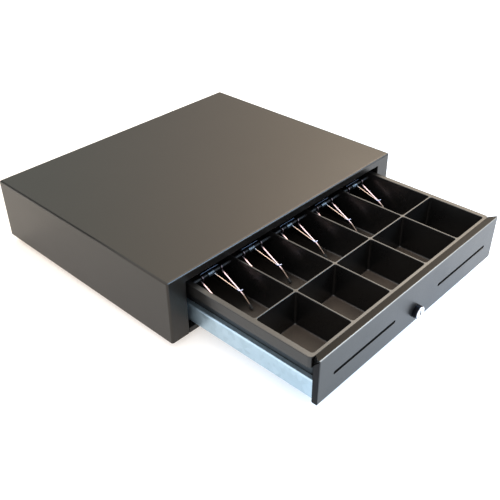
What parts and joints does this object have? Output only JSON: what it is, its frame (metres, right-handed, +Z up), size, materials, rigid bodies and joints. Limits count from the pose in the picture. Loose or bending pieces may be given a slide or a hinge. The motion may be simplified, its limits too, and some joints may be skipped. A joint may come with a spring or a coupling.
{
  "type": "cash drawer",
  "caption": "Steel cash drawer, pulled out, with a plastic till of note and coin compartments, sprung wire hold-downs, media slots and a front key lock.",
  "frame": {"origin": "centre of the four mounting holes in the underside of the base pan", "axes": "+Z up, the front faces -Y, +X to the right seen from the front"},
  "size_m": [0.478, 0.6113, 0.1085],
  "materials": {
    "black_paint": "semi-matt textured",
    "zinc_steel": "galvanised",
    "bright_steel": "bright",
    "chrome": "polished",
    "dark_screws": "black",
    "black_plastic": "fine grain",
    "red_plastic": "gloss",
    "nylon": "natural",
    "rubber": "matt"
  },
  "bodies": {
    "casing": {"casing_cover": "black_paint", "base_pan": "black_paint", "back_panel": "black_paint", "rubber_feet": "rubber", "back_panel_screws": "dark_screws", "rail_left": "zinc_steel", "rail_right": "zinc_steel", "front_roller_brackets": "zinc_steel", "latch_bracket": "zinc_steel", "latch_pin": "bright_steel", "latch_spring": "bright_steel", "solenoid_body": "zinc_steel", "drawer_switch": "black_plastic", "interface_jack": "black_plastic", "lock_keeper": "zinc_steel", "ejector_bracket": "zinc_steel", "ejector_spring": "bright_steel"},
    "drawer": {"drawer_pan": "zinc_steel", "striker": "zinc_steel", "rear_roller_axles": "bright_steel", "front_panel": "black_paint", "panel_rivets": "bright_steel", "lock_barrel": "chrome", "lock_nut": "bright_steel", "till": "black_plastic", "hinge_rod": "bright_steel"},
    "front_roller_left": {"front_roller_left": "nylon"},
    "front_roller_right": {"front_roller_right": "nylon"},
    "rear_roller_left": {"rear_roller_left": "nylon"},
    "rear_roller_right": {"rear_roller_right": "nylon"},
    "latch": {"latch_lever": "zinc_steel"},
    "plunger": {"solenoid_plunger": "bright_steel"},
    "button": {"switch_button": "red_plastic"},
    "ejector": {"ejector_arm": "bright_steel", "ejector_tip": "rubber"},
    "lock_core": {"lock_plug": "chrome", "lock_cam": "bright_steel"},
    "hold_down_1": {"hold_down_1": "chrome", "hold_down_spring_1": "bright_steel", "hold_down_caps_1": "rubber"},
    "hold_down_2": {"hold_down_2": "chrome", "hold_down_spring_2": "bright_steel", "hold_down_caps_2": "rubber"},
    "hold_down_3": {"hold_down_3": "chrome", "hold_down_spring_3": "bright_steel", "hold_down_caps_3": "rubber"},
    "hold_down_4": {"hold_down_4": "chrome", "hold_down_spring_4": "bright_steel", "hold_down_caps_4": "rubber"},
    "hold_down_5": {"hold_down_5": "chrome", "hold_down_spring_5": "bright_steel", "hold_down_caps_5": "rubber"}
  },
  "joints": [
    {"name": "drawer_slide", "type": "slide", "parent": "casing", "child": "drawer", "axis": [0, -1, 0], "range_m": [-0.212, 0]},
    {"name": "lock_turn", "type": "hinge", "parent": "drawer", "child": "lock_core", "pos_m": [0, -0.3825, 0.029], "axis": [0, 1, 0], "range_deg": [0, 90]},
    {"name": "latch_lift", "type": "hinge", "parent": "casing", "child": "latch", "pos_m": [0, 0.179, 0.039], "axis": [-1, 0, 0], "range_deg": [0, 20]},
    {"name": "plunger_pull", "type": "slide", "parent": "casing", "child": "plunger", "axis": [0, 0, 1], "range_m": [0, 0.005], "stiffness_N_per_m": 150, "springref_m": -0.002},
    {"name": "button_press", "type": "slide", "parent": "casing", "child": "button", "axis": [0, 1, 0], "range_m": [0, 0.0015], "stiffness_N_per_m": 20, "springref_m": -0.001},
    {"name": "ejector_swing", "type": "hinge", "parent": "casing", "child": "ejector", "pos_m": [0.1, 0.181, 0.032], "axis": [0, 0, 1], "range_deg": [-35, 0]},
    {"name": "front_roller_left_turn", "type": "hinge", "parent": "casing", "child": "front_roller_left", "pos_m": [-0.186, -0.175, 0.0082], "axis": [1, 0, 0], "continuous": true},
    {"name": "front_roller_right_turn", "type": "hinge", "parent": "casing", "child": "front_roller_right", "pos_m": [0.186, -0.175, 0.0082], "axis": [1, 0, 0], "continuous": true},
    {"name": "rear_roller_left_turn", "type": "hinge", "parent": "drawer", "child": "rear_roller_left", "pos_m": [-0.204, -0.067, 0.032], "axis": [1, 0, 0], "continuous": true},
    {"name": "rear_roller_right_turn", "type": "hinge", "parent": "drawer", "child": "rear_roller_right", "pos_m": [0.204, -0.067, 0.032], "axis": [1, 0, 0], "continuous": true},
    {"name": "hold_down_1_lift", "type": "hinge", "parent": "drawer", "child": "hold_down_1", "pos_m": [-0.1579, -0.187, 0.0675], "axis": [-1, 0, 0], "range_deg": [0, 70], "stiffness_Nm_per_rad": 0.01, "springref_deg": -28.65},
    {"name": "hold_down_2_lift", "type": "hinge", "parent": "drawer", "child": "hold_down_2", "pos_m": [-0.08, -0.187, 0.0675], "axis": [-1, 0, 0], "range_deg": [0, 70], "stiffness_Nm_per_rad": 0.01, "springref_deg": -28.65},
    {"name": "hold_down_3_lift", "type": "hinge", "parent": "drawer", "child": "hold_down_3", "pos_m": [0, -0.187, 0.0675], "axis": [-1, 0, 0], "range_deg": [0, 70], "stiffness_Nm_per_rad": 0.01, "springref_deg": -28.65},
    {"name": "hold_down_4_lift", "type": "hinge", "parent": "drawer", "child": "hold_down_4", "pos_m": [0.08, -0.187, 0.0675], "axis": [-1, 0, 0], "range_deg": [0, 70], "stiffness_Nm_per_rad": 0.01, "springref_deg": -28.65},
    {"name": "hold_down_5_lift", "type": "hinge", "parent": "drawer", "child": "hold_down_5", "pos_m": [0.1579, -0.187, 0.0675], "axis": [-1, 0, 0], "range_deg": [0, 70], "stiffness_Nm_per_rad": 0.01, "springref_deg": -28.65}
  ],
  "couplings": [
    {"joint": "latch_lift", "follows": "plunger_pull", "rad_per_m": 69},
    {"joint": "ejector_swing", "follows": "drawer_slide", "rad_per_m": 2.88},
    {"joint": "front_roller_left_turn", "follows": "drawer_slide", "rad_per_m": 200},
    {"joint": "front_roller_right_turn", "follows": "drawer_slide", "rad_per_m": 200},
    {"joint": "rear_roller_left_turn", "follows": "drawer_slide", "rad_per_m": 125},
    {"joint": "rear_roller_right_turn", "follows": "drawer_slide", "rad_per_m": 125}
  ]
}
